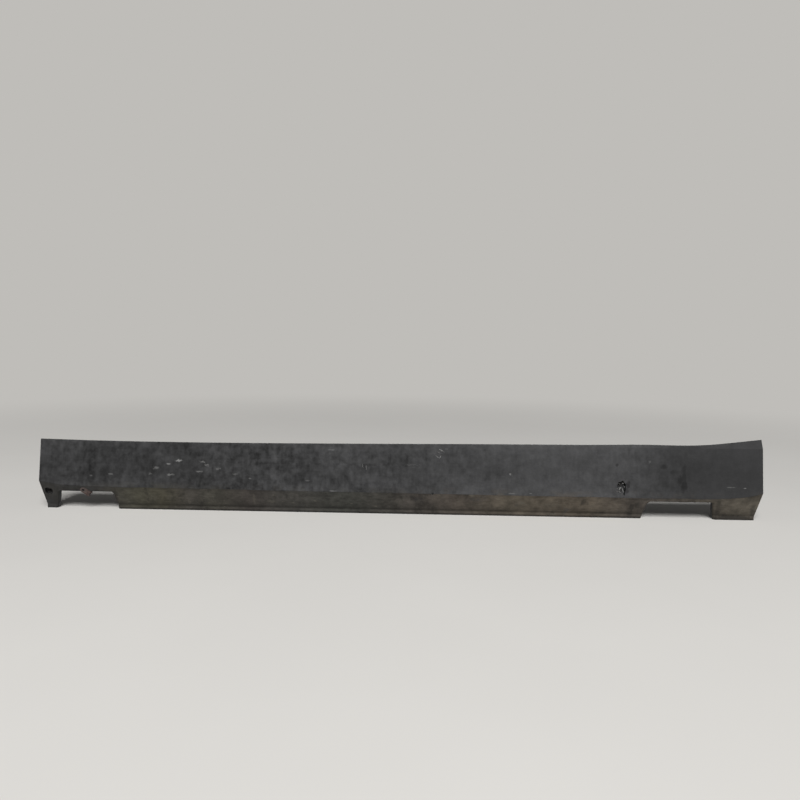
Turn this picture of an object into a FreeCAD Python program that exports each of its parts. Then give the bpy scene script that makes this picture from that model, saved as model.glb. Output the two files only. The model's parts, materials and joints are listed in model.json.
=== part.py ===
import FreeCAD, Part

import math
import os
from FreeCAD import Vector

# Side skirt of a car, one long plastic moulding with an open back, standing on its bottom flange.
# X runs along the car, Y goes from the outer face inwards and Z is up, all in millimetres.
# The origin is the middle of the footprint, on the surface that the skirt stands on.

# Overall form
LENGTH = 1709.0
DEPTH = 102.0
WALL = 3.0
FLANGE_REAR = 56.0
RIM_DEPTH = 14.0

# Top edge: its height at both ends, how far it dips between them, and how far it sits back
TOP_LEFT = 168.0
TOP_RIGHT = 178.9
TOP_DIP = 5.3
TOP_SETBACK = 16.0
TOP_DROP = 7.5
TOP_RADIUS = 2.0

# Raised tail of the top edge at the right end, above a fold in the face
TAIL_LENGTH = 136.0
TAIL_RISE = 14.3
TAIL_BLEND = 30.0
TAIL_LEAN = 0.7
FOLD_DROP = 6.0

# Crease between the face and the wall that returns under it
CREASE_LEFT = 57.5
CREASE_RIGHT = 52.6
CREASE_RISE_LEFT = 12.0
CREASE_RISE_RIGHT = 17.0
CREASE_FADE = 48.0
CREASE_RADIUS = 2.5

# Return wall and the lip at its foot
RETURN_DEPTH = 22.0
LIP_HEIGHT = 9.0
LIP_RADIUS = 6.0
TRAY_LIP = 10.0

# Two jacking notches in the return wall, and the feet outside them
END_TAPER = 9.5
NOTCH_TAPER = 9.5
NOTCH_TOP = 44.0
LEFT_FOOT = 25.0
FOOT_TRAY = 15.0
LEFT_NOTCH = 147.0
RIGHT_FOOT = 95.5
RIGHT_NOTCH = 171.0
LEFT_NOTCH_OUTER_RADIUS = 8.0
LEFT_NOTCH_INNER_RADIUS = 5.0
RIGHT_NOTCH_INNER_RADIUS = 12.0
RIGHT_NOTCH_OUTER_RADIUS = 4.0
LEFT_RIM_RADIUS = 3.6
RIGHT_RIM_RADIUS = 6.0

# Cross ribs, one between each two clips
RIB_THICKNESS = 2.2

# Clip towers moulded on the back of the face, and the clips that slide into them
CLIP_COUNT = 7
CLIP_END_MARGIN = 85.0
CLIP_BELOW_EDGE = 31.0
TOWER_WIDTH = 28.0
TOWER_HEIGHT = 26.0
TOWER_REAR = 44.0
TOWER_WALL = 2.2
SLOT_RADIUS = 4.2
POCKET_MARGIN = 0.15
CLIP_PLAY = 0.1
CLIP_BASE_WIDTH = 18.0
CLIP_BASE = 2.0
CLIP_NECK_WIDTH = 7.6
CLIP_NECK_BEVEL = 2.2
CLIP_COLLAR_WIDTH = 20.0
CLIP_COLLAR_BEVEL = 4.5
CLIP_COLLAR = 1.6
CLIP_FIN = 1.8
CLIP_SHANK_RADIUS = 3.0
CLIP_SHANK_LENGTH = 3.8
CLIP_HEAD_RADIUS = 4.7
CLIP_BULGE = 8.5
CLIP_HEAD_LENGTH = 17.0
CLIP_TIP_RADIUS = 1.6

# Holes through the tray: a round one in the middle and slots beside it
TRAY_HOLE_RADIUS = 4.25
TRAY_HOLE_SETBACK = 42.0
TRAY_SLOT_LENGTH = 13.0
TRAY_SLOT_MARGIN = 65.75
TRAY_SLOTS_EACH_SIDE = 2

# Folded spring-steel nut on the strip above the left notch
NUT_FROM_LEFT = 103.7
NUT_ABOVE_NOTCH = 4.0
NUT_TILT = 50.0
NUT_WIDTH = 15.0
NUT_STEEL = 0.9
NUT_GAP = 0.35
NUT_THROAT = 17.5
NUT_HOLE_RADIUS = 2.9
NUT_THREAD_RADIUS = 2.3
NUT_COLLAR_RADIUS = 3.5
NUT_COLLAR_LENGTH = 2.6
PANEL_SLOT_RADIUS = 3.2

# Damage: a torn hole in the face, a broken-out hole in the left foot and a chip in the crease
TEAR_FROM_RIGHT = 330.1
TEAR_HEIGHT = 75.4
TEAR = [(-11.7, 3.5), (-8.2, 14.0), (-3.0, 15.4), (2.8, 18.2), (9.3, 9.3), (9.0, -3.5), (6.3, -17.8),
        (2.8, -12.0), (1.4, 2.2), (-0.8, -8.6), (-5.6, -6.2), (-7.4, -1.6), (-3.2, 5.2), (-9.6, 0.6)]
FOOT_HOLE_FROM_LEFT = 19.2
FOOT_HOLE_HEIGHT = 43.0
FOOT_HOLE = [(-9.8, 2.0), (-7.5, 8.0), (-1.0, 9.2), (2.2, 6.4), (5.4, 7.6), (9.6, 3.0), (8.3, -4.2), (3.0, -8.6),
             (-1.2, -6.9), (-4.0, -9.2), (-8.0, -5.0)]
CHIP_FROM_RIGHT = 775.5
CHIP_DEPTH = 1.8
CHIP = [(-3.6, 0.6), (-1.4, 2.4), (2.2, 2.9), (3.8, 0.2), (1.0, -2.6), (-2.4, -1.8)]
DAMAGE_REACH = 30.0

LEFT_END = -LENGTH / 2
RIGHT_END = LENGTH / 2
FRONT = -DEPTH / 2

# Where the section is drawn, measured from each end, and how many even spans lie between
LEFT_STATIONS = (-8.0, 20.0, 55.0, 105.0, 180.0)
RIGHT_STATIONS = (-200.0, -150.0, -115.0, -80.0, -50.0, -20.0, 8.0)
MIDDLE_SPANS = 7

# How far a cut runs past the body, past one wall only, and how near an edge counts as on the outline
OVERSHOOT = 20.0
CUT_MARGIN = 0.6
MATCH = 0.03


def along(x):
    """Share of the length at x, from 0 at the left end to 1 at the right end."""
    return (x - LEFT_END) / LENGTH


def tail_rise(x):
    """Height that the raised tail adds to the top edge."""
    run = x - (RIGHT_END - TAIL_LENGTH)
    return TAIL_RISE / TAIL_LENGTH * (run + math.hypot(run, TAIL_BLEND)) / 2


def top_line(x):
    """Height of the top edge without its tail."""
    share = along(x)
    dip = share * (1 - share) ** 3 / (0.25 * 0.75 ** 3)
    return TOP_LEFT + (TOP_RIGHT - TOP_LEFT) * share - TOP_DIP * dip


def crease_height(x):
    """Height of the crease, which lifts towards both ends."""
    level = CREASE_LEFT + (CREASE_RIGHT - CREASE_LEFT) * along(x)
    left = CREASE_RISE_LEFT * math.exp((LEFT_END - x) / CREASE_FADE)
    right = CREASE_RISE_RIGHT * math.exp((x - RIGHT_END) / CREASE_FADE)
    return level + left + right


def skin(x):
    """Corners of the outer skin at x, from the top flange's rear edge round the front to the tray's rear edge."""
    rise = tail_rise(x)
    edge = top_line(x)
    crease = crease_height(x)
    lean = TOP_SETBACK / (edge - crease)
    top = (TOP_SETBACK + TAIL_LEAN * rise, edge + rise)
    return [
        (FLANGE_REAR, top[1] - TOP_DROP),
        top,
        (TOP_SETBACK - lean * FOLD_DROP, edge - FOLD_DROP),
        (0.0, crease),
        (RETURN_DEPTH, LIP_HEIGHT),
        (RETURN_DEPTH, 0.0),
        (DEPTH, 0.0),
    ]


def offset_corner(before, corner, after, distance):
    """Corner of the outline moved inwards by distance, where inwards is to the left of travel."""
    first = (corner[0] - before[0], corner[1] - before[1])
    second = (after[0] - corner[0], after[1] - corner[1])
    first_length = math.hypot(*first)
    second_length = math.hypot(*second)
    one = (-first[1] / first_length, first[0] / first_length)
    two = (-second[1] / second_length, second[0] / second_length)
    scale = distance / (1 + one[0] * two[0] + one[1] * two[1])
    return (corner[0] + (one[0] + two[0]) * scale, corner[1] + (one[1] + two[1]) * scale)


def rounded_wire(points, radii):
    """Closed wire through the points, with an arc of its radius at each corner that has one."""
    count = len(points)
    starts = []
    middles = []
    ends = []
    for i, radius in enumerate(radii):
        corner = points[i]
        back = (points[i - 1] - corner).normalize()
        ahead = (points[(i + 1) % count] - corner).normalize()
        half = back.getAngle(ahead) / 2
        reach = radius / math.tan(half)
        inwards = (back + ahead).normalize() if radius else Vector()
        starts.append(corner + back * reach)
        middles.append(corner + inwards * (radius / math.sin(half) - radius))
        ends.append(corner + ahead * reach)
    edges = []
    for i, radius in enumerate(radii):
        if radius:
            edges.append(Part.Arc(starts[i], middles[i], ends[i]).toShape())
        edges.append(Part.LineSegment(ends[i], starts[(i + 1) % count]).toShape())
    return Part.Wire(edges)


def section_wire(x, corners, radii):
    """Section outline at x, from pairs of depth behind the crease and height."""
    return rounded_wire([Vector(x, FRONT + y, z) for y, z in corners], radii)


def outer_section(x):
    """Filled section: the hood down to the return wall, and the tray behind it."""
    below = [(RETURN_DEPTH, -OVERSHOOT), (DEPTH, -OVERSHOOT)]
    corners = skin(x)[:5] + below + [(DEPTH, TRAY_LIP), (FLANGE_REAR, TRAY_LIP)]
    radii = [0, TOP_RADIUS, 0, CREASE_RADIUS, LIP_RADIUS, 0, 0, 0, 0]
    return section_wire(x, corners, radii)


def hollow_section(x):
    """Hollow one wall inside the skin, open at the back above the tray's lip."""
    corners = skin(x)
    inner = [offset_corner(*corners[i - 1:i + 2], WALL) for i in range(1, 6)]
    slope = (corners[0][1] - corners[1][1]) / (corners[0][0] - corners[1][0])
    rear = FLANGE_REAR + OVERSHOOT
    above = TRAY_LIP + OVERSHOOT
    start = (rear, inner[0][1] + slope * (rear - inner[0][0]))
    back = [(DEPTH - WALL, WALL), (DEPTH - WALL, above), (rear, above)]
    radii = [0, 0, 0, 0, LIP_RADIUS + WALL, 0, 0, 0, 0]
    return section_wire(x, [start] + inner + back, radii)


def clear_section(x):
    """Space behind the rims and cross ribs, which stand in from the skin by the rim's depth."""
    rear_edge, top, _, crease, lip, _, _ = skin(x)
    upper = offset_corner(rear_edge, top, crease, RIM_DEPTH)
    middle = offset_corner(top, crease, lip, RIM_DEPTH)
    rear = DEPTH + OVERSHOOT
    slope = (rear_edge[1] - top[1]) / (rear_edge[0] - top[0])
    start = (rear, upper[1] + slope * (rear - upper[0]))
    run = (crease[0] - lip[0]) / (crease[1] - lip[1])
    foot = (middle[0] + run * (RIM_DEPTH - middle[1]), RIM_DEPTH)
    return section_wire(x, [start, upper, middle, foot, (rear, RIM_DEPTH)], [0] * 5)


def stations():
    """Places along the length where the section is drawn, closer together where it changes faster."""
    near_left = [LEFT_END + step for step in LEFT_STATIONS]
    near_right = [RIGHT_END + step for step in RIGHT_STATIONS]
    step = (near_right[0] - near_left[-1]) / MIDDLE_SPANS
    return near_left + [near_left[-1] + step * i for i in range(1, MIDDLE_SPANS)] + near_right


def loft(section):
    return Part.makeLoft([section(x) for x in stations()], True, False)


def front_corners(below):
    """Outline of the skirt seen from the front, taller than the skirt, with its feet cut off at a height."""
    above = TOP_RIGHT + TAIL_RISE + OVERSHOOT
    slant = NOTCH_TAPER / NOTCH_TOP
    left_foot, left_main, right_main, right_foot = notch_limits()
    return [
        (LEFT_END, above),
        (LEFT_END, crease_height(LEFT_END)),
        (LEFT_END + END_TAPER, LIP_HEIGHT),
        (LEFT_END + END_TAPER, below),
        (left_foot + slant * below, below),
        (left_foot + NOTCH_TAPER, NOTCH_TOP),
        (left_main - NOTCH_TAPER, NOTCH_TOP),
        (left_main - slant * below, below),
        (right_main + slant * below, below),
        (right_main + NOTCH_TAPER, NOTCH_TOP),
        (right_foot - NOTCH_TAPER, NOTCH_TOP),
        (right_foot - slant * below, below),
        (RIGHT_END - END_TAPER, below),
        (RIGHT_END - END_TAPER, LIP_HEIGHT),
        (RIGHT_END, crease_height(RIGHT_END)),
        (RIGHT_END, above),
    ]


def front_wire(inset, below):
    """Front outline moved inwards by inset, in the plane well in front of the skirt."""
    corners = front_corners(below)
    count = len(corners)
    moved = [offset_corner(corners[i - 1], corners[i], corners[(i + 1) % count], inset) for i in range(count)]
    radii = [0] * count
    radii[5] = LEFT_NOTCH_OUTER_RADIUS + inset
    radii[6] = LEFT_NOTCH_INNER_RADIUS + inset
    radii[9] = RIGHT_NOTCH_INNER_RADIUS + inset
    radii[10] = RIGHT_NOTCH_OUTER_RADIUS + inset
    return rounded_wire([Vector(x, FRONT - OVERSHOOT, z) for x, z in moved], radii)


def front_prism(inset, below):
    """Everything behind the front outline, moved inwards by inset."""
    return Part.Face(front_wire(inset, below)).extrude(Vector(0, DEPTH + 3 * OVERSHOOT, 0))


def face_depth(x, height):
    """Depth of the outer face behind the crease at a height."""
    crease = crease_height(x)
    return TOP_SETBACK * (height - crease) / (top_line(x) - crease)


def return_point(x, height):
    """Point on the outer skin of the return wall."""
    crease = crease_height(x)
    depth = RETURN_DEPTH * (crease - height) / (crease - LIP_HEIGHT)
    return Vector(x, FRONT + depth, height)


def block(low, high):
    """Box between two corners given as depth-based coordinates (x, depth behind the crease, z)."""
    size = [b - a for a, b in zip(low, high)]
    return Part.makeBox(*size, Vector(low[0], FRONT + low[1], low[2]))


def notch_limits():
    """The sides of both notches at the tray: left foot, main section's left and right ends, right foot."""
    left_foot = LEFT_END + END_TAPER + LEFT_FOOT
    right_foot = RIGHT_END - END_TAPER - RIGHT_FOOT
    return left_foot, left_foot + LEFT_NOTCH, right_foot - RIGHT_NOTCH, right_foot


def clip_places():
    """Middle of each clip tower's rear wall, as x and height."""
    pitch = (LENGTH - 2 * CLIP_END_MARGIN) / (CLIP_COUNT - 1)
    places = [LEFT_END + CLIP_END_MARGIN + pitch * i for i in range(CLIP_COUNT)]
    return [(x, top_line(x) - CLIP_BELOW_EDGE) for x in places]


def rim_edges(body, low, high):
    """Edges of the notch rim between two places along the length, where the front skin meets the notch sides."""
    outline = front_wire(0, 0.0)
    chosen = []
    for edge in body.Edges:
        span = edge.LastParameter - edge.FirstParameter
        points = [edge.valueAt(edge.FirstParameter + span * share) for share in (0.0, 0.3, 0.7, 1.0)]
        on_front = all(point.y < FRONT + RETURN_DEPTH + MATCH and low < point.x < high for point in points)
        if on_front and all(
            Part.Vertex(point.x, FRONT - OVERSHOOT, point.z).distToShape(outline)[0] < MATCH for point in points
        ):
            chosen.append(edge)
    return chosen


def make_shell():
    """The moulding's walls: the filled body less its hollow, with rims and cross ribs left standing."""
    left_foot, left_main, right_main, right_foot = notch_limits()
    middle = (left_main + right_main) / 2
    body = loft(outer_section).common(front_prism(0, 0.0))
    body = body.makeFillet(LEFT_RIM_RADIUS, rim_edges(body, left_foot - OVERSHOOT / 2, middle))
    body = body.makeFillet(RIGHT_RIM_RADIUS, rim_edges(body, middle, right_foot + OVERSHOOT / 2))

    hollow = loft(hollow_section)
    shelf_gap = hollow.common(block(
        (left_foot + NOTCH_TAPER + LEFT_NOTCH_OUTER_RADIUS, 0, NOTCH_TOP - WALL),
        (left_main - NOTCH_TAPER - LEFT_NOTCH_INNER_RADIUS, FLANGE_REAR, NOTCH_TOP + WALL + CUT_MARGIN),
    ))
    places = [x for x, _ in clip_places()]
    ribs = []
    for here, there in zip(places, places[1:]):
        x = (here + there - RIB_THICKNESS) / 2
        ribs.append(block((x, -OVERSHOOT, -OVERSHOOT), (x + RIB_THICKNESS, 2 * DEPTH, 2 * TOP_RIGHT)))
    hollow = hollow.common(front_prism(WALL, -OVERSHOOT)).cut(ribs)
    behind_feet = [
        block((low, RETURN_DEPTH + FOOT_TRAY, -OVERSHOOT), (high, DEPTH + OVERSHOOT, RIM_DEPTH + CUT_MARGIN))
        for low, high in ((LEFT_END, left_foot + OVERSHOOT), (right_foot - OVERSHOOT, RIGHT_END))
    ]
    return body.cut([hollow, loft(clear_section), shelf_gap] + behind_feet)


def yz_prism(x, width, corners):
    """Prism across the length, centred on x, through corners given as depth and height."""
    points = [Vector(x - width / 2, FRONT + y, z) for y, z in corners]
    return Part.Face(rounded_wire(points, [0] * len(points))).extrude(Vector(width, 0, 0))


def xz_prism(x, height, corners, start, reach):
    """Prism through the skin: an outline seen from the front, from one depth over a reach."""
    points = [Vector(x + dx, FRONT + start, height + dz) for dx, dz in corners]
    return Part.Face(rounded_wire(points, [0] * len(points))).extrude(Vector(0, reach, 0))


def cylinder_y(x, depth, height, radius, length):
    return Part.makeCylinder(radius, length, Vector(x, FRONT + depth, height), Vector(0, 1, 0))


def tower_block(x, height):
    """Solid form of one clip tower, rooted in the middle of the face's wall."""
    low = height - TOWER_HEIGHT / 2
    high = height + TOWER_HEIGHT / 2
    root = WALL / 2
    corners = [(face_depth(x, low) + root, low), (TOWER_REAR, low), (TOWER_REAR, high), (face_depth(x, high) + root, high)]
    return yz_prism(x, TOWER_WIDTH, corners)


def tower_pocket(x, height):
    """Space inside one clip tower, open below, with the slot that the clip's neck slides along."""
    low = height - TOWER_HEIGHT
    high = height + TOWER_HEIGHT / 2 - TOWER_WALL
    skin_back = WALL + POCKET_MARGIN
    rear = TOWER_REAR - TOWER_WALL
    corners = [(face_depth(x, low) + skin_back, low), (rear, low), (rear, high), (face_depth(x, high) + skin_back, high)]
    room = yz_prism(x, TOWER_WIDTH - 2 * TOWER_WALL, corners)
    slot = block((x - SLOT_RADIUS, rear - TOWER_WALL, low), (x + SLOT_RADIUS, TOWER_REAR + TOWER_WALL, height))
    return [room, slot, cylinder_y(x, rear - TOWER_WALL, height, SLOT_RADIUS, 3 * TOWER_WALL)]


def tray_hole(x, slotted):
    """Hole through the tray, round or slotted along the length."""
    depth = RETURN_DEPTH + TRAY_HOLE_SETBACK
    half = (TRAY_SLOT_LENGTH / 2 - TRAY_HOLE_RADIUS) if slotted else 0.0
    ends = [
        Part.makeCylinder(TRAY_HOLE_RADIUS, 3 * WALL, Vector(x + shift, FRONT + depth, -WALL))
        for shift in ((-half, half) if slotted else (0.0,))
    ]
    if slotted:
        ends.append(block((x - half, depth - TRAY_HOLE_RADIUS, -WALL), (x + half, depth + TRAY_HOLE_RADIUS, 2 * WALL)))
    return ends


def tray_holes():
    _, left_main, right_main, _ = notch_limits()
    middle = (left_main + right_main) / 2
    pitch = (right_main - middle - TRAY_SLOT_MARGIN) / TRAY_SLOTS_EACH_SIDE
    cuts = tray_hole(middle, False)
    for i in range(1, TRAY_SLOTS_EACH_SIDE + 1):
        cuts += tray_hole(middle - pitch * i, True) + tray_hole(middle + pitch * i, True)
    return cuts


def nut_frame():
    """Placement of the spring nut: origin at its hole on the skin, local Z towards its rounded end, local Y inwards."""
    x = LEFT_END + NUT_FROM_LEFT
    origin = return_point(x, NOTCH_TOP + NUT_ABOVE_NOTCH)
    up = (return_point(x, crease_height(x)) - return_point(x, LIP_HEIGHT)).normalize()
    tilt = math.radians(NUT_TILT)
    sideways = Vector(1, 0, 0)
    towards_end = up * math.cos(tilt) - sideways * math.sin(tilt)
    across = up * math.sin(tilt) + sideways * math.cos(tilt)
    inwards = towards_end.cross(across)
    return FreeCAD.Placement(FreeCAD.Matrix(
        across.x, inwards.x, towards_end.x, origin.x,
        across.y, inwards.y, towards_end.y, origin.y,
        across.z, inwards.z, towards_end.z, origin.z,
        0, 0, 0, 1,
    ))


def panel_slot():
    """Slot in the strip behind the spring nut's hole, open at the notch."""
    x = LEFT_END + NUT_FROM_LEFT
    height = NOTCH_TOP + NUT_ABOVE_NOTCH
    hole = cylinder_y(x, -WALL, height, PANEL_SLOT_RADIUS, 6 * WALL)
    mouth = block(
        (x - PANEL_SLOT_RADIUS, -WALL, NOTCH_TOP - WALL),
        (x + PANEL_SLOT_RADIUS, 5 * WALL, height),
    )
    return [hole, mouth]


def damage():
    """Solids that are missing where the skirt is torn, broken and chipped."""
    tear_x = RIGHT_END - TEAR_FROM_RIGHT
    foot_x = LEFT_END + FOOT_HOLE_FROM_LEFT
    chip_x = RIGHT_END - CHIP_FROM_RIGHT
    return [
        xz_prism(tear_x, TEAR_HEIGHT, TEAR, -WALL, DAMAGE_REACH),
        xz_prism(foot_x, FOOT_HOLE_HEIGHT, FOOT_HOLE, -WALL, DAMAGE_REACH),
        xz_prism(chip_x, crease_height(chip_x), CHIP, -WALL, WALL + CHIP_DEPTH),
    ]


def skirt_moulding():
    towers = [tower_block(x, height) for x, height in clip_places()]
    pockets = [piece for x, height in clip_places() for piece in tower_pocket(x, height)]
    shape = make_shell().fuse(towers)
    return shape.cut(pockets + tray_holes() + panel_slot() + damage())


def bevelled_plate(x, depth, height, width, bevel, thickness):
    """Square plate across the depth with its corners cut off."""
    half = width / 2
    near = half - bevel
    corners = [(near, half), (-near, half), (-half, near), (-half, -near), (-near, -half), (near, -half), (half, -near),
               (half, near)]
    return xz_prism(x, height, corners, depth, thickness)


def retaining_clip(x, height):
    """Push-in clip: base in the tower, neck in its slot, collar outside and a four-finned head pointing inwards."""
    seat = TOWER_REAR - TOWER_WALL - CLIP_PLAY
    outside = TOWER_REAR + CLIP_PLAY
    shoulder = outside + CLIP_COLLAR
    half = CLIP_BASE_WIDTH / 2
    base = block((x - half, seat - CLIP_BASE, height - half), (x + half, seat, height + half))
    neck = bevelled_plate(x, seat, height, CLIP_NECK_WIDTH, CLIP_NECK_BEVEL, outside - seat)
    collar = bevelled_plate(x, outside, height, CLIP_COLLAR_WIDTH, CLIP_COLLAR_BEVEL, CLIP_COLLAR)
    side = [
        (CLIP_SHANK_RADIUS, shoulder),
        (CLIP_SHANK_RADIUS, shoulder + CLIP_SHANK_LENGTH),
        (CLIP_HEAD_RADIUS, shoulder + CLIP_BULGE),
        (CLIP_TIP_RADIUS, shoulder + CLIP_HEAD_LENGTH),
    ]
    outline = side + [(-radius, depth) for radius, depth in reversed(side)]
    upright = yz_prism(x, CLIP_FIN, [(depth, height + radius) for radius, depth in outline])
    points = [Vector(x + radius, FRONT + depth, height - CLIP_FIN / 2) for radius, depth in outline]
    level = Part.Face(rounded_wire(points, [0] * len(points))).extrude(Vector(0, 0, CLIP_FIN))
    return base.fuse([neck, collar, upright, level])


def speed_nut():
    """Folded spring-steel nut: a front leg with a round eye, a bend round the edge and a threaded rear leg."""
    front = -NUT_GAP
    rear = WALL + NUT_GAP
    bend = WALL / 2
    end = NUT_WIDTH / 2
    inner = (rear - front) / 2
    outer = inner + NUT_STEEL
    side = -NUT_WIDTH / 2

    def point(y, z):
        return Vector(side, y, z)

    def line(a, b):
        return Part.LineSegment(point(*a), point(*b)).toShape()

    def arc(radius):
        ends = point(bend - radius, -NUT_THROAT), point(bend + radius, -NUT_THROAT)
        return Part.Arc(ends[0], point(bend, -NUT_THROAT - radius), ends[1]).toShape()

    edges = [
        arc(outer),
        line((rear + NUT_STEEL, -NUT_THROAT), (rear + NUT_STEEL, end)),
        line((rear + NUT_STEEL, end), (rear, end)),
        line((rear, end), (rear, -NUT_THROAT)),
        arc(inner),
        line((front, -NUT_THROAT), (front, end)),
        line((front, end), (front - NUT_STEEL, end)),
        line((front - NUT_STEEL, end), (front - NUT_STEEL, -NUT_THROAT)),
    ]
    strip = Part.Face(Part.Wire(Part.__sortEdges__(edges))).extrude(Vector(NUT_WIDTH, 0, 0))
    reach = 4 * WALL
    eye = Part.makeCylinder(end, 2 * reach, Vector(0, -reach, 0), Vector(0, 1, 0))
    tail = Part.makeBox(NUT_WIDTH, 2 * reach, 2 * NUT_THROAT, Vector(side, -reach, -2 * NUT_THROAT))
    strip = strip.common(eye.fuse(tail))
    collar = Part.makeCylinder(NUT_COLLAR_RADIUS, NUT_COLLAR_LENGTH, Vector(0, rear, 0), Vector(0, 1, 0))
    clearance = Part.makeCylinder(NUT_HOLE_RADIUS, reach, Vector(0, bend - reach, 0), Vector(0, 1, 0))
    thread = Part.makeCylinder(NUT_THREAD_RADIUS, reach, Vector(0, bend, 0), Vector(0, 1, 0))
    nut = strip.fuse(collar).cut([clearance, thread])
    nut.Placement = nut_frame()
    return nut


def write(name, shape):
    """One STEP file for one piece, from its single solid."""
    solid = shape.removeSplitter().Solids[0]
    solid.exportStep(os.path.join("parts", name + ".step"))
    print(name, round(solid.Volume), solid.isValid(), len(shape.Solids), len(solid.Faces))


os.makedirs("parts", exist_ok=True)
write("skirt_moulding", skirt_moulding())
write("speed_nut", speed_nut())
for number, (clip_x, clip_height) in enumerate(clip_places(), start=1):
    write(f"retaining_clip_{number}", retaining_clip(clip_x, clip_height))
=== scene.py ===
import json
import math
import random

import bmesh
import bpy
from mathutils import Matrix, Vector

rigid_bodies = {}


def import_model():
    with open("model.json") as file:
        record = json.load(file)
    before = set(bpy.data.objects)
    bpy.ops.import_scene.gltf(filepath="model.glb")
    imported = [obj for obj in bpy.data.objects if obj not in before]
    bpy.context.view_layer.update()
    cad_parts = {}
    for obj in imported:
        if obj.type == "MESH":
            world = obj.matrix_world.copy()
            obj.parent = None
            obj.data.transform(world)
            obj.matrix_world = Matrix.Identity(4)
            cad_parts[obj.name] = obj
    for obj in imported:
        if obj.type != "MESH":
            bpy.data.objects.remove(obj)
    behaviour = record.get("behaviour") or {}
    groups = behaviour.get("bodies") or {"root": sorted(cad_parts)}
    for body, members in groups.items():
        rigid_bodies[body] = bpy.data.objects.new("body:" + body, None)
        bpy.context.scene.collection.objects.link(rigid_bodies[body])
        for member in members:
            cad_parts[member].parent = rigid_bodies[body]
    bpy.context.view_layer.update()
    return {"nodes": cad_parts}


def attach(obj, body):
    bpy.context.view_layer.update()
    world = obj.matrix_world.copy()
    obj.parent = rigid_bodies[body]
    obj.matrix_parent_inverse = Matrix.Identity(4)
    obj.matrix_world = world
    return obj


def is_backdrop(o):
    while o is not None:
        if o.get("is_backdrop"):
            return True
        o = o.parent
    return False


# Looks of a worn car side skirt: one dark grained plastic moulding, a rusty spring nut and nylon clips.
# Metres, in the part's own frame: X along the skirt, Y inwards to the car, Z up.

# Camera of the photograph
CAMERA_PLACE = (0.0219, -1.9106, 0.45)
CAMERA_YAW = math.radians(-0.707)
CAMERA_PITCH = math.radians(5.352)
CAMERA_ROLL = math.radians(0.9)
CAMERA_LENS = 36.0
CAMERA_SENSOR = 36.0

CAMERA_NEAR = 0.05
CAMERA_FAR = 60.0

# Floor and background
FLOOR_RADIUS = 14.0
FLOOR_SIDES = 96
FLOOR_DROP = 0.0002
FLOOR_FADE_START = 1.2
FLOOR_FADE_END = 3.4
FLOOR_COLOUR = (208, 206, 202)
BACKGROUND_COLOUR = (191, 189, 185)

# Studio light: the sky's strength changes from front to back between two values of its direction's y
WORLD_LIGHT_FRONT = 0.16
WORLD_LIGHT_BACK = 0.03
WORLD_TURN_FRONT = -0.3
WORLD_TURN_BACK = 0.4
KEY_PLACE = (0.3, -8.0, 7.2)
KEY_SIZE = 5.0
KEY_POWER = 1540.0
REAR_PLACE = (0.6, 2.6, 1.5)
REAR_SIZE = 2.0
REAR_POWER = 80.0

# Colours of the moulding, as display values
PLASTIC = (62, 62, 63)
PLASTIC_INSIDE = (56, 56, 57)
DUST = (112, 104, 88)
SCUFFED = (168, 168, 166)
# Pale dried mud, also the colour of painted highlights on the right notch's rounded rim
MUD_SPLAT_AND_HIGHLIGHT = (86, 83, 74)
# Damp mud, also the colour of painted shadow at the base, under the crease and in the left notch's rim
MUD_DAMP_AND_SHADOW = (34, 32, 30)
PLASTIC_SPECULAR = 0.18

# Ends of the skirt, and the heights between which its face and its mud are shaded
SKIRT_LEFT = -0.86
SKIRT_RIGHT = 0.86
FACE_LOW = 0.05
FACE_HIGH = 0.20
MUD_LOW = 0.0
MUD_HIGH = 0.06

# Layers of mottling: grain size, stretch along the axes, detail, roughness, shift and strength
FACE_LAYERS = [
    (0.060, (1.5, 1, 0.8), 3.0, 0.55, 0.0, 1.0),
    (0.022, (1.1, 1, 1.1), 3.0, 0.55, 19.0, 1.3),
    (0.010, (1.0, 1, 1.1), 3.0, 0.55, 29.0, 1.0),
    (0.015, (5, 1, 0.3), 2.0, 0.55, 3.0, 0.22),
    (0.012, (0.7, 1, 4), 2.0, 0.55, 7.0, 0.6),
]
MUD_LAYERS = [
    (0.050, (1.0, 1, 1.6), 4.0, 0.6, 59.0, 1.5),
    (0.016, (1.3, 1, 1.1), 3.0, 0.55, 53.0, 1.2),
    (0.006, (2.2, 1, 0.8), 3.0, 0.55, 61.0, 0.7),
]

# How light and how mottled the face is along the skirt, and how light over its height, lighter in the band
# just above the crease as edge wear and a painted highlight
FACE_TONES = [
    (-0.86, 0.225), (-0.7, 0.215), (-0.54, 0.195), (-0.365, 0.215), (-0.095, 0.245), (0.22, 0.332),
    (0.435, 0.382), (0.5, 0.382), (0.58, 0.285), (0.67, 0.212), (0.745, 0.212), (0.86, 0.218),
]
FACE_MOTTLES = [
    (-0.86, 0.70), (-0.7, 0.80), (-0.58, 0.74), (-0.48, 0.90), (-0.34, 1.0), (-0.2, 0.86), (-0.05, 0.66),
    (0.22, 0.37), (0.45, 0.26), (0.58, 0.38), (0.7, 0.24), (0.86, 0.10),
]
FACE_MOTTLE = 2.15
FACE_TONE = 4.0
FACE_DARKEST = 0.12
FACE_HEIGHTS_AND_CREASE_HIGHLIGHT = [
    (0.05, 0.47), (0.058, 0.56), (0.066, 0.54), (0.078, 0.5), (0.098, 0.47), (0.112, 0.45),
    (0.124, 0.48), (0.15, 0.5), (0.166, 0.54), (0.2, 0.54),
]

# Faint worn line along the face: its height, the waves in it, its middle and its reach
SCUFF_LINE_HEIGHT = 0.1195
SCUFF_LINE_WAVE = 0.0008
SCUFF_LINE_WAVES = 190.0
SCUFF_LINE_MIDDLE = -0.21
SCUFF_LINE_REACH = 0.27
SCUFF_LINE_SOUND = 0.20
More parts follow.
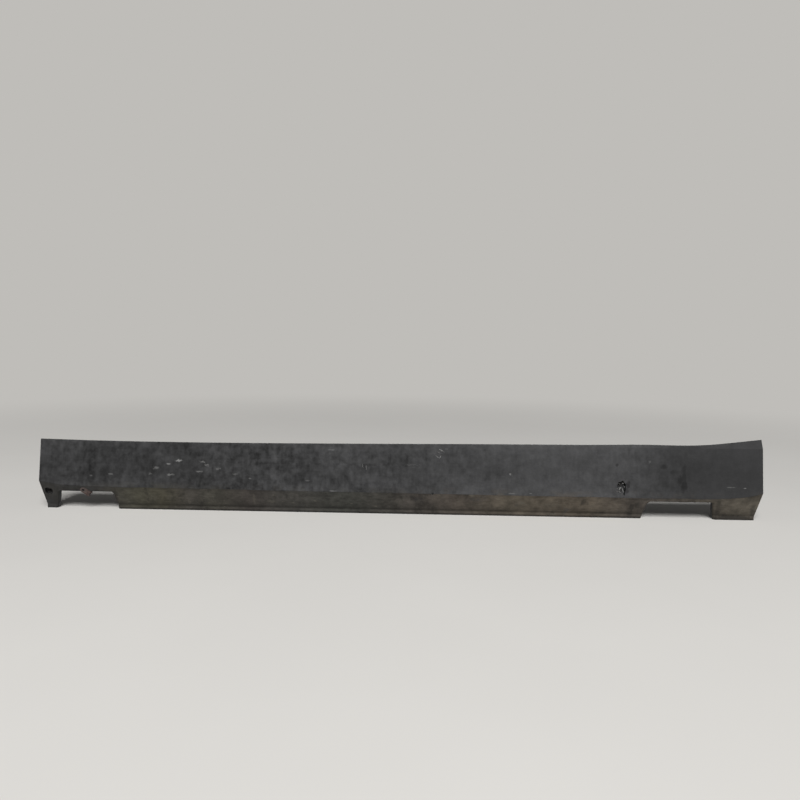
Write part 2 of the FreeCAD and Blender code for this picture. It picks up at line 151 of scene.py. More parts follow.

# Dark smudges, among them the painted shade of the dent right of the tear, and light scuffs on the face:
# x, z, half width, half height and strength
SMUDGES_AND_DENT_SHADE = [
    (0.6229, 0.127, 0.009, 0.006, 0.42), (0.642, 0.115, 0.006, 0.006, 0.36),
    (0.669, 0.12, 0.006, 0.013, 0.45), (0.67, 0.106, 0.006, 0.015, 0.52),
    (0.662, 0.096, 0.008, 0.012, 0.55), (0.67, 0.084, 0.009, 0.014, 0.6),
    (0.5125, 0.1297, 0.004, 0.004, 0.55), (-0.7, 0.148, 0.01, 0.01, 0.32),
    (-0.664, 0.152, 0.008, 0.008, 0.28), (-0.696, 0.096, 0.012, 0.012, 0.34),
    (-0.654, 0.105, 0.009, 0.014, 0.26), (-0.513, 0.088, 0.008, 0.01, 0.36),
    (-0.48, 0.101, 0.012, 0.008, 0.3), (-0.385, 0.104, 0.016, 0.007, 0.32),
    (-0.43, 0.113, 0.01, 0.005, 0.28), (-0.27, 0.117, 0.009, 0.006, 0.34),
    (-0.19, 0.118, 0.008, 0.005, 0.3), (-0.228, 0.093, 0.01, 0.007, 0.26),
    # The dark places at x 0.5385 and 0.536 are painted shade of the dent right of the tear
    (-0.127, 0.101, 0.012, 0.006, 0.22), (0.5385, 0.0835, 0.007, 0.0085, 0.68),
    (0.536, 0.07, 0.005, 0.0075, 0.5), (-0.605, 0.146, 0.014, 0.007, 0.22),
    (0.0796, 0.054, 0.0035, 0.003, 0.6), (-0.026, 0.123, 0.004, 0.003, 0.4),
    (-0.81, 0.13, 0.006, 0.012, 0.18),
]
SCUFFS = [
    (-0.5242, 0.1216, 0.0075, 0.0026, 0.36), (-0.548, 0.1137, 0.006, 0.0022, 0.22),
    (-0.542, 0.0885, 0.0075, 0.0024, 0.19), (-0.4665, 0.1196, 0.006, 0.0022, 0.18),
    (-0.4571, 0.1125, 0.005, 0.0028, 0.16), (-0.4749, 0.0969, 0.008, 0.0018, 0.18),
    (-0.5768, 0.1043, 0.007, 0.0034, 0.14), (-0.6855, 0.0874, 0.0045, 0.002, 0.14),
    (-0.7311, 0.0836, 0.0045, 0.0018, 0.1), (-0.43, 0.104, 0.006, 0.0022, 0.12),
    (-0.59, 0.09, 0.005, 0.0026, 0.1), (-0.1604, 0.1533, 0.008, 0.0018, 0.1),
    (-0.3533, 0.0828, 0.0035, 0.002, 0.14), (-0.2171, 0.0807, 0.0045, 0.0022, 0.12),
    (-0.156, 0.0571, 0.01, 0.0014, 0.14), (0.2611, 0.1042, 0.0032, 0.0024, 0.2),
    (0.5895, 0.1381, 0.0035, 0.0035, 0.09), (0.8124, 0.0807, 0.004, 0.0012, 0.26),
    (0.7798, 0.0822, 0.01, 0.001, 0.12), (0.2675, 0.0589, 0.008, 0.0011, 0.12),
    (0.3101, 0.0597, 0.0035, 0.0011, 0.14), (-0.39, 0.092, 0.007, 0.002, 0.1),
]

# Colour and depth of the mud on the return wall; over its height it is darker towards the bottom, darkest
# at the bottom edge and in the corner above the lip, as painted shade
MUD_LEVEL = 1.85
MUD_COLOURS = [
    (-0.68, (58, 56, 51)), (-0.62, (66, 64, 55)), (-0.56, (66, 63, 53)), (-0.5, (62, 59, 55)),
    (-0.44, (64, 62, 56)), (-0.36, (57, 53, 50)), (-0.28, (60, 58, 55)), (-0.12, (61, 61, 57)),
    (0.04, (66, 62, 58)), (0.14, (72, 66, 60)), (0.26, (78, 72, 63)), (0.45, (80, 73, 64)),
    (0.58, (72, 67, 62)), (0.8, (78, 73, 65)),
]
MUD_AND_SHADE_HEIGHTS = [
    (0.0, 0.14), (0.0025, 0.2), (0.006, 0.4), (0.009, 0.4), (0.012, 0.27), (0.016, 0.38), (0.022, 0.45),
    (0.034, 0.53), (0.048, 0.53), (0.056, 0.44), (0.06, 0.4),
]

# Dark and light places in the mud, with painted shadow and highlights among them: x, z, half width, half
# height and strength
# The long thin rows along the bottom edge (z 0.002 to 0.006) are painted shadow at the base; the row under
# the crease at x 0.57 and the band at x -0.676 in the left notch's turned-in rim are painted shade
MUD_DARK_SPOTS_AND_SHADOWS = [
    (-0.676, 0.03, 0.006, 0.024, 0.5), (-0.425, 0.036, 0.02, 0.016, 0.4),
    (-0.39, 0.02, 0.012, 0.01, 0.3), (-0.2, 0.044, 0.05, 0.005, 0.3), (0.03, 0.044, 0.04, 0.005, 0.28),
    (0.56, 0.038, 0.02, 0.014, 0.3), (0.57, 0.05, 0.04, 0.0035, 0.45),
    (0.795, 0.005, 0.06, 0.0075, 0.75), (-0.4, 0.002, 0.26, 0.0026, 0.4),
    (0.15, 0.002, 0.32, 0.0026, 0.4), (0.52, 0.0025, 0.09, 0.003, 0.45),
    (0.756, 0.028, 0.007, 0.024, 0.4), (0.838, 0.026, 0.006, 0.02, 0.35),
    (-0.83, 0.006, 0.018, 0.005, 0.45),
]
# The thin light line along the top edge of the right notch (z 0.0445) and the one on its left edge (x
# 0.596) are painted highlights on its rounded rim
MUD_LIGHT_SPOTS_AND_HIGHLIGHTS = [
    (-0.345, 0.032, 0.003, 0.015, 0.3), (-0.3052, 0.0263, 0.012, 0.004, 0.34),
    (-0.5011, 0.0222, 0.005, 0.006, 0.3), (-0.59, 0.03, 0.018, 0.008, 0.22),
    (-0.545, 0.034, 0.008, 0.011, 0.24), (0.596, 0.028, 0.0028, 0.018, 0.34),
    (0.665, 0.0445, 0.07, 0.0016, 0.3), (0.36, 0.03, 0.025, 0.006, 0.16),
    (0.17, 0.026, 0.02, 0.006, 0.14),
]

# Darkening in the eye of the nut, dirt and painted shade of the hole, a darker spot on its bend, and a
# paler ring round the eye
NUT_PALE = (82, 76, 73)
NUT_DARK = (26, 18, 17)
NUT_PALE_SPOTS = [(-0.7508, 0.0480, 0.0085, 0.0085, 0.55)]
NUT_DARK_SPOTS = [(-0.7508, 0.0480, 0.0036, 0.0036, 0.95), (-0.7350, 0.0365, 0.0060, 0.0050, 0.75)]

# Colours from dark to light of rust, nylon and stressed plastic, against the strength of a noise
RUST_COLOURS = [
    (0.30, (38, 29, 27)), (0.42, (62, 48, 45)), (0.52, (78, 62, 58)),
    (0.62, (86, 74, 69)), (0.72, (90, 64, 52)),
]
NYLON_COLOURS = [(0.30, (148, 140, 122)), (0.48, (186, 180, 164)), (0.72, (204, 200, 188))]
STRESSED_COLOURS = [(0.30, (74, 74, 74)), (0.48, (104, 104, 103)), (0.70, (134, 134, 132))]

# Torn hole in the face: its middle, its outline round the middle, and the plastic pushed in behind it,
# which also closes the hole so it reads dark like the shade inside the skirt
TEAR_MIDDLE = (0.5244, 0.0754)
TEAR_POCKET = [
    (-0.013, 0.004), (-0.0095, 0.0155), (-0.003, 0.0175), (0.004, 0.0198), (0.0112, 0.0098),
    (0.0108, -0.0045), (0.0075, -0.0195), (0.001, -0.0135), (-0.007, -0.0085), (-0.011, -0.002),
]
TEAR_DEPTH = 0.0125
TEAR_SLIVERS = [
    ([(-0.0062, -0.0040), (-0.0044, 0.0006), (-0.0016, 0.0034)], 0.0026, 0.0012),
    ([(-0.0006, 0.0024), (0.0020, -0.0040), (0.0046, -0.0104)], 0.0022, 0.0018),
    ([(0.0006, 0.0112), (0.0026, 0.0120), (0.0044, 0.0108)], 0.0024, 0.0012),
    ([(-0.0124, -0.0060), (-0.0108, -0.0086)], 0.0014, 0.0006),
    ([(-0.0106, 0.0016), (-0.0118, -0.0012)], 0.0012, 0.0006),
    ([(-0.0076, 0.0120), (-0.0052, 0.0098)], 0.0012, 0.0006),
    ([(0.0040, 0.0062), (0.0058, 0.0040), (0.0066, 0.0012)], 0.0012, 0.0010),
    ([(-0.0072, -0.0060), (-0.0050, -0.0092), (-0.0026, -0.0104)], 0.0012, 0.0008),
]

# Broken hole in the left foot, with a pale sliver on its upper rim as a painted glint
FOOT_HOLE_MIDDLE = (-0.8353, 0.0430)
FOOT_POCKET = [
    (-0.0112, 0.002), (-0.0085, 0.0092), (-0.001, 0.0106), (0.0056, 0.009), (0.011, 0.0035),
    (0.0096, -0.005), (0.0032, -0.01), (-0.0046, -0.0106), (-0.0095, -0.0058),
]
FOOT_DEPTH = 0.0095
FOOT_GLINT = [([(0.0028, 0.0078), (0.0050, 0.0086), (0.0074, 0.0078)], 0.0024, 0.0010)]

# Both holes: the moulding's wall, how far the pushed-in plastic reaches past the outline, its thickness,
# its rings as shares of its width and depth, and a place beside each hole where the face is whole
WALL = 0.003
POCKET_REACH = 1.12
POCKET_OUTSIDE = 1.4
POCKET_WALL = 0.0014
POCKET_RINGS = [(1.0, 0.0), (0.92, 0.35), (0.72, 0.72), (0.40, 0.95)]
SOUND_SKIN = (-0.02, 0.004)
SLIVER_SINK = 0.0006

# Marks on the face, as pairs of x and z: bright scratches with raised edges
SCRATCHES = [
    ([(0.0848, 0.1450), (0.0895, 0.1410), (0.0941, 0.1379)], 0.0013),
    ([(0.0941, 0.1379), (0.0962, 0.1412), (0.0980, 0.1445)], 0.0012),
    ([(0.0889, 0.1532), (0.0935, 0.1512), (0.0985, 0.1490)], 0.0009),
    ([(0.0928, 0.1599), (0.0985, 0.1562), (0.1040, 0.1530)], 0.0011),
    ([(0.0968, 0.1580), (0.1020, 0.1548), (0.1062, 0.1516)], 0.0007),
    ([(0.1070, 0.1594), (0.1105, 0.1598), (0.1141, 0.1595)], 0.0007),
    ([(-0.0875, 0.1214), (-0.0868, 0.1165), (-0.0858, 0.1120)], 0.0008),
    ([(-0.0800, 0.1200), (-0.0786, 0.1140), (-0.0778, 0.1075)], 0.0009),
    ([(0.0131, 0.1208), (0.0300, 0.1212), (0.0462, 0.1214)], 0.0004),
]
SCRATCH_RISE = 0.0004
SCRATCH_SINK = 0.0005
SCRATCH_STEPS = 5
SCRATCH_WOBBLE = 0.0003


def linear(colour):
    """Linear colour from one written as 0 to 255 display values."""
    values = []
    for channel in colour:
        share = channel / 255.0
        values.append(share / 12.92 if share <= 0.04045 else ((share + 0.055) / 1.055) ** 2.4)
    return (*values, 1.0)


class Graph:
    """One material's nodes, built from small steps that return the socket of their result."""

    def __init__(self, name):
        self.material = bpy.data.materials.new(name)
        self.material.use_nodes = True
        self.tree = self.material.node_tree
        self.tree.nodes.clear()
        output = self.tree.nodes.new("ShaderNodeOutputMaterial")
        self.shader = self.tree.nodes.new("ShaderNodeBsdfPrincipled")
        self.tree.links.new(self.shader.outputs["BSDF"], output.inputs["Surface"])
        self.output = output
        self.place = self.tree.nodes.new("ShaderNodeTexCoord").outputs["Object"]
        axes = self.tree.nodes.new("ShaderNodeSeparateXYZ")
        self.tree.links.new(self.place, axes.inputs[0])
        self.x, self.y, self.z = axes.outputs

    def put(self, socket, value):
        if isinstance(value, bpy.types.NodeSocket):
            self.tree.links.new(value, socket)
        else:
            socket.default_value = value

    def math(self, operation, *values):
        node = self.tree.nodes.new("ShaderNodeMath")
        node.operation = operation
        for socket, value in zip(node.inputs, values):
            self.put(socket, value)
        return node.outputs[0]

    def remap(self, value, low, high, start=0.0, end=1.0):
        """Smooth step of a value from low to high, as start to end."""
        node = self.tree.nodes.new("ShaderNodeMapRange")
        node.interpolation_type = "SMOOTHSTEP"
        for socket, entry in zip(node.inputs, (value, low, high, start, end)):
            self.put(socket, entry)
        return node.outputs[0]

    def ramp(self, value, low, high, stops):
        """Number that follows (place, number) stops as the value runs from low to high."""
        share = self.tree.nodes.new("ShaderNodeMapRange")
        for socket, entry in zip(share.inputs, (value, low, high)):
            self.put(socket, entry)
        curve = self.tree.nodes.new("ShaderNodeFloatCurve")
        line = curve.mapping.curves[0]
        places = [((place - low) / (high - low), number) for place, number in stops]
        while len(line.points) < len(places):
            line.points.new(0.5, 0.5)
        for point, (share_of_run, number) in zip(line.points, places):
            point.location = (share_of_run, number)
        curve.mapping.update()
        self.put(curve.inputs["Value"], share.outputs[0])
        return curve.outputs[0]

    def colours(self, value, low, high, stops):
        """Colour that follows (place, colour) stops as the value runs from low to high."""
        share = self.tree.nodes.new("ShaderNodeMapRange")
        for socket, entry in zip(share.inputs, (value, low, high)):
            self.put(socket, entry)
        node = self.tree.nodes.new("ShaderNodeValToRGB")
        elements = node.color_ramp.elements
        while len(elements) < len(stops):
            elements.new(0.5)
        for element, (place, colour) in zip(elements, stops):
            element.position = (place - low) / (high - low)
            element.color = linear(colour)
        self.put(node.inputs[0], share.outputs[0])
        return node.outputs[0]

    def noise(self, scale, stretch=(1, 1, 1), detail=3.0, roughness=0.55, shift=0.0):
        """Noise with a grain size in metres, drawn out along the axes by stretch."""
        mapping = self.tree.nodes.new("ShaderNodeMapping")
        mapping.inputs["Location"].default_value = (shift, shift, shift)
        mapping.inputs["Scale"].default_value = tuple(1 / (scale * share) for share in stretch)
        self.put(mapping.inputs["Vector"], self.place)
        node = self.tree.nodes.new("ShaderNodeTexNoise")
        node.inputs["Scale"].default_value = 1.0
        node.inputs["Detail"].default_value = detail
        node.inputs["Roughness"].default_value = roughness
        self.put(node.inputs["Vector"], mapping.outputs[0])
        return node.outputs["Fac"]

    def swing(self, value, strength):
        """Noise moved to swing about zero."""
        return self.math("MULTIPLY", self.math("SUBTRACT", value, 0.5), strength)

    def layers(self, rows):
        """Sum of noises that swing about zero."""
        total = 0.0
        for scale, stretch, detail, roughness, shift, strength in rows:
            part = self.swing(self.noise(scale, stretch, detail, roughness, shift), strength)
            total = self.math("ADD", total, part)
        return total

    def spots(self, places, ragged):
        """Largest share of the given soft ellipses on the face, with ragged edges."""
        total = 0.0
        for x, z, half_width, half_height, strength in places:
            offset = self.tree.nodes.new("ShaderNodeVectorMath")
            offset.operation = "SUBTRACT"
            self.put(offset.inputs[0], self.place)
            offset.inputs[1].default_value = (x, 0.0, z)
            scaled = self.tree.nodes.new("ShaderNodeVectorMath")
            scaled.operation = "MULTIPLY"
            self.put(scaled.inputs[0], offset.outputs[0])
            scaled.inputs[1].default_value = (1 / half_width, 0.0, 1 / half_height)
            length = self.tree.nodes.new("ShaderNodeVectorMath")
            length.operation = "LENGTH"
            self.put(length.inputs[0], scaled.outputs[0])
            reach = self.math("ADD", length.outputs["Value"], ragged)
            total = self.math("MAXIMUM", total, self.remap(reach, 1.25, 0.45, 0.0, strength))
        return total

    def blend(self, factor, a, b):
        """Colour a where the factor is 0 and b where it is 1."""
        node = self.tree.nodes.new("ShaderNodeMix")
        node.data_type = "RGBA"
        self.put(node.inputs[0], factor)
        self.put(node.inputs[6], a)
        self.put(node.inputs[7], b)
        return node.outputs[2]

    def tint(self, colour, tone):
        """Colour multiplied by a number."""
        node = self.tree.nodes.new("ShaderNodeVectorMath")
        node.operation = "SCALE"
        self.put(node.inputs[0], colour)
        self.put(node.inputs["Scale"], tone)
        return node.outputs[0]

    def bump(self, height, distance, below=None):
        node = self.tree.nodes.new("ShaderNodeBump")
        node.inputs["Distance"].default_value = distance
        self.put(node.inputs["Height"], height)
        if below is not None:
            self.put(node.inputs["Normal"], below)
        return node.outputs[0]

    def normal_axes(self):
        geometry = self.tree.nodes.new("ShaderNodeNewGeometry")
        axes = self.tree.nodes.new("ShaderNodeSeparateXYZ")
        self.tree.links.new(geometry.outputs["Normal"], axes.inputs[0])
        return axes.outputs

    def finish(self, colour, roughness, normal=None):
        self.put(self.shader.inputs["Base Color"], colour)
        self.put(self.shader.inputs["Roughness"], roughness)
        if normal is not None:
            self.put(self.shader.inputs["Normal"], normal)
        return self.material


def skirt_plastic():
    """Weathered grained plastic: mottled grey face, muddy return wall with painted shade and highlights in
    it, plain dark inside.
    """
    g = Graph("skirt_plastic")
    _, normal_y, normal_z = g.normal_axes()

    # Tone over the height of the face, lighter just above the crease: edge wear and a painted highlight
    tone = g.ramp(g.z, FACE_LOW, FACE_HIGH, FACE_HEIGHTS_AND_CREASE_HIGHLIGHT)
    tone = g.math("MULTIPLY", tone, g.ramp(g.x, SKIRT_LEFT, SKIRT_RIGHT, FACE_TONES))
    tone = g.math("MULTIPLY", tone, FACE_TONE)
    mottle_share = g.ramp(g.x, SKIRT_LEFT, SKIRT_RIGHT, FACE_MOTTLES)
    mottle = g.math("MULTIPLY", g.layers(FACE_LAYERS), g.math("MULTIPLY", mottle_share, FACE_MOTTLE))
    fine = g.swing(g.noise(0.004, (1.4, 1, 1), 2.0, shift=11.0), 0.35)
    lightness = g.math("ADD", g.math("ADD", mottle, fine), 1.0)
    tone = g.math("MULTIPLY", tone, g.math("MAXIMUM", lightness, FACE_DARKEST))

    wave = g.math("MULTIPLY", g.math("SINE", g.math("MULTIPLY", g.x, SCUFF_LINE_WAVES)), SCUFF_LINE_WAVE)
    line_offset = g.math("SUBTRACT", g.math("ADD", g.z, wave), SCUFF_LINE_HEIGHT)
    line = g.remap(g.math("ABSOLUTE", line_offset), 0.0032, 0.0006)
    zone_offset = g.math("ABSOLUTE", g.math("SUBTRACT", g.x, SCUFF_LINE_MIDDLE))
    line_zone = g.remap(zone_offset, SCUFF_LINE_REACH, SCUFF_LINE_SOUND)
    dashes = g.remap(g.noise(0.012, detail=2.0, shift=41.0), 0.40, 0.60, -0.34, 0.16)
    line_tone = g.math("MULTIPLY", g.math("MULTIPLY", line, line_zone), dashes)
    tone = g.math("MULTIPLY", tone, g.math("ADD", 1.0, line_tone))

    ragged = g.swing(g.noise(0.005, detail=3.0, shift=23.0), 1.6)
    # Dark smudges, among them the painted shade of the dent right of the tear
    smudged_and_shaded = g.spots(SMUDGES_AND_DENT_SHADE, ragged)
    tone = g.math("MULTIPLY", tone, g.math("SUBTRACT", 1.0, smudged_and_shaded))
    face = g.tint(linear(PLASTIC)[:3], tone)
    broken = g.swing(g.noise(0.0025, (2, 1, 1), 3.0, shift=31.0), 3.0)
    face = g.blend(g.spots(SCUFFS, broken), face, linear(SCUFFED))

    mud_colour = g.colours(g.x, SKIRT_LEFT, SKIRT_RIGHT, MUD_COLOURS)
    # Mud over its height, darker towards the bottom edge and in the corner above the lip as painted shade
    mud_and_shade_tone = g.math("MULTIPLY", g.ramp(g.z, MUD_LOW, MUD_HIGH, MUD_AND_SHADE_HEIGHTS), MUD_LEVEL)
    mud_and_shade_tone = g.math("MULTIPLY", mud_and_shade_tone, g.math("ADD", g.layers(MUD_LAYERS), 1.0))
    mud = g.tint(mud_colour, mud_and_shade_tone)
    splats = g.remap(g.noise(0.016, (1.6, 1, 0.7), 3.0, 0.5, 67.0), 0.66, 0.74, 0.0, 0.6)
    mud = g.blend(splats, mud, linear(MUD_SPLAT_AND_HIGHLIGHT))
    mud_ragged = g.swing(g.noise(0.006, (1, 1, 1.4), 3.0, shift=89.0), 1.8)
    # Dark places in the mud, among them painted shadow at the base, under the crease and in the left
    # notch's rim
    mud = g.blend(g.spots(MUD_DARK_SPOTS_AND_SHADOWS, mud_ragged), mud, linear(MUD_DAMP_AND_SHADOW))
    # Light places in the mud, among them painted highlights on the right notch's rim
    mud = g.blend(g.spots(MUD_LIGHT_SPOTS_AND_HIGHLIGHTS, mud_ragged), mud, linear(MUD_SPLAT_AND_HIGHLIGHT))
    damp = g.remap(g.noise(0.035, (1.0, 1, 2.0), 4.0, 0.6, 79.0), 0.55, 0.68, 0.0, 0.55)
    mud = g.blend(damp, mud, linear(MUD_DAMP_AND_SHADOW))

    outer = g.remap(normal_y, -0.05, -0.30)
    facing_down = g.remap(normal_z, -0.10, -0.32)
    lip = g.remap(g.z, 0.020, 0.012)
    mud_edge = g.remap(g.noise(0.03, (1.5, 1, 1), 4.0, shift=71.0), 0.20, 0.42, 0.25, 1.0)
    mud_mask = g.math("MAXIMUM", facing_down, lip)
    mud_mask = g.math("MULTIPLY", mud_mask, g.math("MULTIPLY", outer, mud_edge))
    mud_mask = g.math("MULTIPLY", mud_mask, g.remap(g.x, -0.73, -0.665, 0.35, 1.0))
    splash = g.remap(g.noise(0.02, (2, 1, 1), 4.0, shift=73.0), 0.45, 0.60, 0.0, 0.35)
    splash = g.math("MULTIPLY", splash, g.remap(g.z, 0.075, 0.055))
    mud_mask = g.math("MAXIMUM", mud_mask, g.math("MULTIPLY", splash, outer))
    outside = g.blend(mud_mask, face, mud)

    inner_tone = g.math("ADD", g.swing(g.noise(0.08, (2, 1, 1), 4.0, shift=83.0), 0.8), 0.9)
    inside = g.tint(linear(PLASTIC_INSIDE)[:3], inner_tone)
    dust = g.math("MULTIPLY", g.remap(normal_z, 0.4, 0.9), g.remap(g.z, 0.05, 0.02))
    dust_patches = g.remap(g.noise(0.05, (2, 1, 1), 5.0, 0.6, 97.0), 0.30, 0.65, 0.10, 0.80)
    dust = g.math("MULTIPLY", dust, dust_patches)
    inside = g.blend(dust, inside, linear(DUST))
    is_outer = g.remap(normal_y, 0.10, -0.10)
    colour = g.blend(is_outer, inside, outside)

    roughness = g.remap(g.noise(0.05, (1.5, 1, 1), 4.0, shift=101.0), 0.30, 0.70, 0.50, 0.66)
    roughness = g.math("ADD", roughness, g.math("MULTIPLY", mud_mask, 0.18))
    grain = g.noise(0.0011, detail=2.0, shift=5.0)
    dents = g.noise(0.07, (1.5, 1, 1), 2.0, shift=9.0)
    normal = g.bump(grain, 0.00012)
    normal = g.bump(dents, 0.0016, normal)
    lumps = g.math("MULTIPLY", mud_mask, g.noise(0.005, (2, 1, 1), 4.0, shift=13.0))
    normal = g.bump(lumps, 0.0008, normal)
    g.shader.inputs["Specular IOR Level"].default_value = PLASTIC_SPECULAR
    return g.finish(colour, roughness, normal)


def nut_steel():
    """Spring steel gone brown with rust, with a few darker and brighter flakes; its eye is darkened with
    dirt and painted shade.
    """
    g = Graph("nut_steel")
    rust = g.colours(g.noise(0.004, detail=5.0, roughness=0.65), 0.30, 0.72, RUST_COLOURS)
    ragged = g.swing(g.noise(0.0020, detail=3.0, shift=5.0), 0.8)
    rust = g.blend(g.spots(NUT_PALE_SPOTS, ragged), rust, linear(NUT_PALE))
    rust = g.blend(g.spots(NUT_DARK_SPOTS, ragged), rust, linear(NUT_DARK))
    normal = g.bump(g.noise(0.0012, detail=4.0, shift=3.0), 0.0003)
    g.shader.inputs["Metallic"].default_value = 0.25
    roughness = g.remap(g.noise(0.003, shift=7.0), 0.3, 0.7, 0.55, 0.9)
    return g.finish(rust, roughness, normal)


def clip_nylon():
    """Natural nylon, yellowed and dusty."""
    g = Graph("clip_nylon")
    colour = g.colours(g.noise(0.006, detail=4.0), 0.30, 0.72, NYLON_COLOURS)
    normal = g.bump(g.noise(0.0008, detail=2.0, shift=3.0), 0.00008)
    roughness = g.remap(g.noise(0.004, shift=7.0), 0.3, 0.7, 0.4, 0.6)
    g.shader.inputs["Subsurface Weight"].default_value = 0.15
    g.shader.inputs["Subsurface Radius"].default_value = (0.002, 0.0018, 0.0014)
    return g.finish(colour, roughness, normal)


def stressed_plastic_and_glint():
    """Plastic gone white where it was bent, scratched or torn; also the pale sliver that is a painted
    glint on the foot hole.
    """
    g = Graph("stressed_plastic_and_glint")
    colour = g.colours(g.noise(0.003, detail=4.0), 0.30, 0.70, STRESSED_COLOURS)
    normal = g.bump(g.noise(0.0008, detail=3.0, shift=3.0), 0.0002)
    return g.finish(colour, g.remap(g.noise(0.002, shift=5.0), 0.3, 0.7, 0.5, 0.75), normal)


def floor_material():
    """Plain pale floor that fades to the background far from the skirt."""
    g = Graph("floor")
    distance = g.tree.nodes.new("ShaderNodeVectorMath")
    distance.operation = "LENGTH"
    g.put(distance.inputs[0], g.place)
    mottle = g.remap(g.noise(0.6, detail=3.0), 0.3, 0.7, 0.99, 1.01)
    g.finish(g.tint(linear(FLOOR_COLOUR)[:3], mottle), 1.0)
    g.shader.inputs["Specular IOR Level"].default_value = 0.0
    glow = g.tree.nodes.new("ShaderNodeEmission")
    glow.inputs["Color"].default_value = linear(BACKGROUND_COLOUR)
    mix = g.tree.nodes.new("ShaderNodeMixShader")
    g.put(mix.inputs[0], g.remap(distance.outputs["Value"], FLOOR_FADE_START, FLOOR_FADE_END))
    g.put(mix.inputs[1], g.shader.outputs["BSDF"])
    g.put(mix.inputs[2], glow.outputs[0])
    g.put(g.output.inputs["Surface"], mix.outputs[0])
    return g.material


def make_camera():
    """Camera where the photograph was taken from."""
    forward = Vector((
        math.sin(CAMERA_YAW) * math.cos(CAMERA_PITCH),
        math.cos(CAMERA_YAW) * math.cos(CAMERA_PITCH),
        -math.sin(CAMERA_PITCH),
    ))
    level = Vector((math.cos(CAMERA_YAW), -math.sin(CAMERA_YAW), 0.0))
    upright = level.cross(forward)
    right = level * math.cos(CAMERA_ROLL) + upright * math.sin(CAMERA_ROLL)
    up = upright * math.cos(CAMERA_ROLL) - level * math.sin(CAMERA_ROLL)
    data = bpy.data.cameras.new("camera")
    data.lens = CAMERA_LENS
    data.sensor_width = CAMERA_SENSOR
    data.clip_start = CAMERA_NEAR
    data.clip_end = CAMERA_FAR
    camera = bpy.data.objects.new("camera", data)
    turn = Matrix((right, up, -forward)).transposed().to_4x4()
    camera.matrix_world = Matrix.Translation(CAMERA_PLACE) @ turn
    bpy.context.scene.collection.objects.link(camera)
    bpy.context.scene.camera = camera


def make_lamp(name, place, size, power, lit_only=None):
    """Soft square lamp aimed at the skirt, for the whole scene or for one collection."""
    data = bpy.data.lights.new(name, "AREA")
    data.size = size
    data.energy = power
    lamp = bpy.data.objects.new(name, data)
    lamp.location = place
    lamp.visible_camera = False
    lamp.rotation_euler = (-Vector(place)).to_track_quat("-Z", "Y").to_euler()
    if lit_only:
        lamp.light_linking.receiver_collection = lit_only
    bpy.context.scene.collection.objects.link(lamp)


def make_studio():
    """Pale floor, pale background and soft light."""
    mesh = bpy.data.meshes.new("floor")
    shape = bmesh.new()
    bmesh.ops.create_circle(shape, cap_ends=True, radius=FLOOR_RADIUS, segments=FLOOR_SIDES)
    shape.to_mesh(mesh)
    shape.free()
    floor = bpy.data.objects.new("floor", mesh)
    floor.location.z = -FLOOR_DROP
    mesh.materials.append(floor_material())
    bpy.context.scene.collection.objects.link(floor)
    floor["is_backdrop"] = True

    world = bpy.data.worlds.new("studio")
    bpy.context.scene.world = world
    world.use_nodes = True
    tree = world.node_tree
    tree.nodes.clear()
    light = tree.nodes.new("ShaderNodeBackground")
    light.inputs["Color"].default_value = (1.0, 1.0, 1.0, 1.0)
    direction = tree.nodes.new("ShaderNodeTexCoord")
    axes = tree.nodes.new("ShaderNodeSeparateXYZ")
    strength = tree.nodes.new("ShaderNodeMapRange")
    ends = (WORLD_TURN_FRONT, WORLD_TURN_BACK, WORLD_LIGHT_FRONT, WORLD_LIGHT_BACK)
    for socket, value in zip(list(strength.inputs)[1:5], ends):
        socket.default_value = value
    tree.links.new(direction.outputs["Generated"], axes.inputs[0])
    tree.links.new(axes.outputs[1], strength.inputs["Value"])
    tree.links.new(strength.outputs[0], light.inputs["Strength"])
    shown = tree.nodes.new("ShaderNodeBackground")
    shown.inputs["Color"].default_value = linear(BACKGROUND_COLOUR)
    rays = tree.nodes.new("ShaderNodeLightPath")
    seen = tree.nodes.new("ShaderNodeMath")
    seen.operation = "ADD"
    seen_through = tree.nodes.new("ShaderNodeMath")
    seen_through.operation = "ADD"
    tree.links.new(rays.outputs["Is Camera Ray"], seen.inputs[0])
    tree.links.new(rays.outputs["Is Glossy Ray"], seen.inputs[1])
    tree.links.new(seen.outputs[0], seen_through.inputs[0])
    tree.links.new(rays.outputs["Is Transmission Ray"], seen_through.inputs[1])
    mix = tree.nodes.new("ShaderNodeMixShader")
    output = tree.nodes.new("ShaderNodeOutputWorld")
    tree.links.new(seen_through.outputs[0], mix.inputs[0])
    tree.links.new(light.outputs[0], mix.inputs[1])
    tree.links.new(shown.outputs[0], mix.inputs[2])
    tree.links.new(mix.outputs[0], output.inputs["Surface"])

    make_lamp("key", KEY_PLACE, KEY_SIZE, KEY_POWER)


def light_the_back():
    """Soft light on the back of the skirt alone, so its own shadow on the floor stays."""
    skirt = bpy.data.collections.new("skirt")
    for piece in bpy.context.scene.objects:
        if piece.type == "MESH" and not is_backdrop(piece):
            skirt.objects.link(piece)
    make_lamp("rear", REAR_PLACE, REAR_SIZE, REAR_POWER, skirt)


def on_skin(moulding, x, z):
    """Point and outward direction where a line from the front meets the moulding."""
    hit, point, normal, _ = moulding.ray_cast(Vector((x, -0.3, z)), Vector((0.0, 1.0, 0.0)))
    return (point, normal) if hit else (Vector((x, 0.0, z)), Vector((0.0, -1.0, 0.0)))


